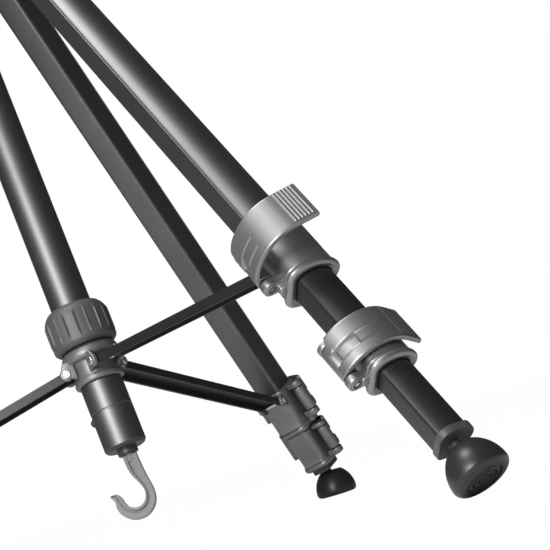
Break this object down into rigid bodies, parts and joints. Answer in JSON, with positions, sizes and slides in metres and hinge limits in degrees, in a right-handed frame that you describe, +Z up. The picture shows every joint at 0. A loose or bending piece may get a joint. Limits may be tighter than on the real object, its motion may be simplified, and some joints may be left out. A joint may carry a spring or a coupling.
{
  "type": "photo tripod",
  "caption": "Three-legged aluminium tripod with braced folding legs, lever leg locks, weight hook, lifting column and pan-tilt head with quick-release plate.",
  "frame": {"origin": "on the floor, under the middle of the overall box", "axes": "+Z up, square to the floor plane through the three soles; leg 3 points to -X; the column leans because leg 1 is pulled out further"},
  "size_m": [0.4268, 0.5303, 0.5735],
  "materials": {
    "anthracite": "satin anodised",
    "graphite": "dark anodised, satin",
    "moulded_grey": "fine moulded texture",
    "dark_plastic": "satin moulding",
    "cast_grey": "satin painted casting",
    "pin_metal": "bright",
    "hook_metal": "satin light grey",
    "bright_tube": "satin",
    "black_rubber": "matte",
    "cap_grey": "satin moulding"
  },
  "bodies": {
    "frame": {"spider": "cast_grey", "shoulder_pins": "pin_metal", "center_tube": "anthracite", "end_sleeve": "anthracite", "sleeve_stud": "dark_plastic", "end_cap": "dark_plastic"},
    "hub": {"hub": "cast_grey", "hub_pins": "pin_metal"},
    "collar": {"hub_collar": "moulded_grey"},
    "hook": {"hook": "hook_metal"},
    "column": {"column": "bright_tube", "head_base": "cast_grey"},
    "column_knob": {"column_knob": "dark_plastic"},
    "pan_knob": {"pan_knob": "dark_plastic"},
    "pan": {"pan_body": "cast_grey"},
    "tilt": {"tilt_body": "cast_grey"},
    "handle": {"handle_rod": "bright_tube", "handle_grip": "black_rubber"},
    "platform": {"platform": "dark_plastic"},
    "release_plate": {"release_plate": "moulded_grey"},
    "camera_screw": {"camera_screw": "pin_metal"},
    "brace_1": {"brace_1": "graphite"},
    "upper_leg_1": {"leg_top_1": "cast_grey", "upper_tube_1": "anthracite", "upper_lock_1": "moulded_grey", "leg_pins_1": "pin_metal"},
    "middle_leg_1": {"mid_tube_1": "graphite", "lower_lock_1": "moulded_grey", "lower_lock_pin_1": "pin_metal"},
    "lower_leg_1": {"lower_tube_1": "graphite", "foot_cap_1": "cap_grey"},
    "foot_1": {"foot_1": "black_rubber"},
    "upper_lever_1": {"upper_lever_1": "moulded_grey"},
    "lower_lever_1": {"lower_lever_1": "moulded_grey"},
    "brace_2": {"brace_2": "graphite"},
    "upper_leg_2": {"leg_top_2": "cast_grey", "upper_tube_2": "anthracite", "upper_lock_2": "moulded_grey", "leg_pins_2": "pin_metal"},
    "middle_leg_2": {"mid_tube_2": "graphite", "lower_lock_2": "moulded_grey", "lower_lock_pin_2": "pin_metal"},
    "lower_leg_2": {"lower_tube_2": "graphite", "foot_cap_2": "cap_grey"},
    "foot_2": {"foot_2": "black_rubber"},
    "upper_lever_2": {"upper_lever_2": "moulded_grey"},
    "lower_lever_2": {"lower_lever_2": "moulded_grey"},
    "brace_3": {"brace_3": "graphite"},
    "upper_leg_3": {"leg_top_3": "cast_grey", "upper_tube_3": "anthracite", "upper_lock_3": "moulded_grey", "leg_pins_3": "pin_metal"},
    "middle_leg_3": {"mid_tube_3": "graphite", "lower_lock_3": "moulded_grey", "lower_lock_pin_3": "pin_metal"},
    "lower_leg_3": {"lower_tube_3": "graphite", "foot_cap_3": "cap_grey"},
    "foot_3": {"foot_3": "black_rubber"},
    "upper_lever_3": {"upper_lever_3": "moulded_grey"},
    "lower_lever_3": {"lower_lever_3": "moulded_grey"}
  },
  "joints": [
    {"name": "hub_slide", "type": "slide", "parent": "frame", "child": "hub", "axis": [-0.0895, 0.1549, 0.9839], "range_m": [0, 0.12259]},
    {"name": "brace_hinge_1", "type": "hinge", "parent": "hub", "child": "brace_1", "pos_m": [0.05136, 0.00432, 0.12583], "axis": [0.866, 0.5, 0], "range_deg": [0, 72.38]},
    {"name": "leg_hinge_1", "type": "hinge", "parent": "brace_1", "child": "upper_leg_1", "pos_m": [0.14644, -0.16037, 0.12876], "axis": [0.866, 0.5, 0], "range_deg": [-49.78, 0]},
    {"name": "middle_slide_1", "type": "slide", "parent": "upper_leg_1", "child": "middle_leg_1", "axis": [0.2932, -0.5079, -0.81], "range_m": [-0.0351, 0.2649]},
    {"name": "lower_slide_1", "type": "slide", "parent": "middle_leg_1", "child": "lower_leg_1", "axis": [0.2932, -0.5079, -0.81], "range_m": [-0.0421, 0.2579]},
    {"name": "upper_lever_1", "type": "hinge", "parent": "upper_leg_1", "child": "upper_lever_1", "pos_m": [0.13694, -0.18231, 0.12921], "axis": [0.2932, -0.5079, -0.81], "range_deg": [-48, 52]},
    {"name": "lower_lever_1", "type": "hinge", "parent": "middle_leg_1", "child": "lower_lever_1", "pos_m": [0.15841, -0.2163, 0.07372], "axis": [0.2932, -0.5079, -0.81], "range_deg": [0, 100]},
    {"name": "foot_swivel_1", "type": "hinge", "parent": "lower_leg_1", "child": "foot_1", "pos_m": [0.19727, -0.2484, 0.01532], "axis": [0.866, 0.5, 0], "range_deg": [-30, 20]},
    {"name": "brace_hinge_2", "type": "hinge", "parent": "hub", "child": "brace_2", "pos_m": [0.05157, 0.0334, 0.12127], "axis": [-0.859, 0.4879, -0.1549], "range_deg": [0, 72.38]},
    {"name": "leg_hinge_2", "type": "hinge", "parent": "brace_2", "child": "upper_leg_2", "pos_m": [0.14892, 0.18976, 0.07386], "axis": [-0.859, 0.4879, -0.1549], "range_deg": [-49.78, 0]},
    {"name": "middle_slide_2", "type": "slide", "parent": "upper_leg_2", "child": "middle_leg_2", "axis": [0.2985, 0.2315, -0.9259], "range_m": [0, 0.3]},
    {"name": "lower_slide_2", "type": "slide", "parent": "middle_leg_2", "child": "lower_leg_2", "axis": [0.2985, 0.2315, -0.9259], "range_m": [0, 0.3]},
    {"name": "upper_lever_2", "type": "hinge", "parent": "upper_leg_2", "child": "upper_lever_2", "pos_m": [0.17271, 0.19217, 0.07349], "axis": [0.2985, 0.2315, -0.9259], "range_deg": [0, 100]},
    {"name": "lower_lever_2", "type": "hinge", "parent": "middle_leg_2", "child": "lower_lever_2", "pos_m": [0.1813, 0.20068, 0.04231], "axis": [0.2985, 0.2315, -0.9259], "range_deg": [0, 100]},
    {"name": "foot_swivel_2", "type": "hinge", "parent": "lower_leg_2", "child": "foot_2", "pos_m": [0.17767, 0.22025, 0.0105], "axis": [-0.6128, 0.7902, 0], "range_deg": [-47.19, 2.81]},
    {"name": "brace_hinge_3", "type": "hinge", "parent": "hub", "child": "brace_3", "pos_m": [0.02607, 0.01868, 0.12127], "axis": [-0.007, -0.9879, 0.1549], "range_deg": [0, 72.38]},
    {"name": "leg_hinge_3", "type": "hinge", "parent": "brace_3", "child": "upper_leg_3", "pos_m": [-0.15801, 0.01255, 0.07386], "axis": [-0.007, -0.9879, 0.1549], "range_deg": [-49.78, 0]},
    {"name": "middle_slide_3", "type": "slide", "parent": "upper_leg_3", "child": "middle_leg_3", "axis": [-0.3497, -0.1427, -0.9259], "range_m": [0, 0.3]},
    {"name": "lower_slide_3", "type": "slide", "parent": "middle_leg_3", "child": "lower_leg_3", "axis": [-0.3497, -0.1427, -0.9259], "range_m": [0, 0.3]},
    {"name": "upper_lever_3", "type": "hinge", "parent": "upper_leg_3", "child": "upper_lever_3", "pos_m": [-0.17173, 0.03109, 0.06754], "axis": [-0.3497, -0.1427, -0.9259], "range_deg": [0, 100]},
    {"name": "lower_lever_3", "type": "hinge", "parent": "middle_leg_3", "child": "lower_lever_3", "pos_m": [-0.18342, 0.02474, 0.03686], "axis": [-0.3497, -0.1427, -0.9259], "range_deg": [0, 100]},
    {"name": "foot_swivel_3", "type": "hinge", "parent": "lower_leg_3", "child": "foot_3", "pos_m": [-0.19879, 0.0029, 0.0105], "axis": [0.3779, -0.9258, 0], "range_deg": [-47.19, 2.81]},
    {"name": "collar_twist", "type": "hinge", "parent": "hub", "child": "collar", "pos_m": [0.04076, 0.02267, 0.14739], "axis": [-0.0895, 0.1549, 0.9839], "range_deg": [0, 90]},
    {"name": "hook_swivel", "type": "hinge", "parent": "frame", "child": "hook", "pos_m": [0.04837, 0.0095, 0.06376], "axis": [-0.0895, 0.1549, 0.9839], "continuous": true},
    {"name": "column_lift", "type": "slide", "parent": "frame", "child": "column", "axis": [-0.0895, 0.1549, 0.9839], "range_m": [0, 0.2]},
    {"name": "column_knob_turn", "type": "hinge", "parent": "frame", "child": "column_knob", "pos_m": [0.03976, 0.07637, 0.4897], "axis": [0.996, 0.007, 0.0895], "continuous": true},
    {"name": "pan_turn", "type": "hinge", "parent": "column", "child": "pan", "pos_m": [0.00833, 0.07885, 0.50414], "axis": [-0.0895, 0.1549, 0.9839], "continuous": true},
    {"name": "pan_knob_turn", "type": "hinge", "parent": "column", "child": "pan_knob", "pos_m": [-0.01612, 0.0779, 0.49698], "axis": [-0.996, -0.007, -0.0895], "continuous": true},
    {"name": "tilt_turn", "type": "hinge", "parent": "pan", "child": "tilt", "pos_m": [0.00515, 0.08437, 0.53916], "axis": [-0.996, -0.007, -0.0895], "range_deg": [-45, 30]},
    {"name": "handle_turn", "type": "hinge", "parent": "tilt", "child": "handle", "pos_m": [0.00499, 0.08863, 0.54051], "axis": [0.0299, 0.9141, -0.4043], "range_deg": [-180, 180]},
    {"name": "portrait_flip", "type": "hinge", "parent": "tilt", "child": "platform", "pos_m": [-0.01286, 0.08611, 0.54945], "axis": [-0.007, -0.9879, 0.1549], "range_deg": [0, 90]},
    {"name": "plate_release", "type": "slide", "parent": "platform", "child": "release_plate", "axis": [0.007, 0.9879, -0.1549], "range_m": [0, 0.045]},
    {"name": "camera_screw_turn", "type": "hinge", "parent": "release_plate", "child": "camera_screw", "pos_m": [0.00333, 0.08751, 0.55914], "axis": [-0.0895, 0.1549, 0.9839], "continuous": true}
  ],
  "couplings": [
    {"joint": "brace_hinge_1", "follows": "hub_slide", "rad_per_m": 10.304},
    {"joint": "leg_hinge_1", "follows": "hub_slide", "rad_per_m": -7.0868},
    {"joint": "brace_hinge_2", "follows": "hub_slide", "rad_per_m": 10.304},
    {"joint": "leg_hinge_2", "follows": "hub_slide", "rad_per_m": -7.0868},
    {"joint": "brace_hinge_3", "follows": "hub_slide", "rad_per_m": 10.304},
    {"joint": "leg_hinge_3", "follows": "hub_slide", "rad_per_m": -7.0868}
  ]
}
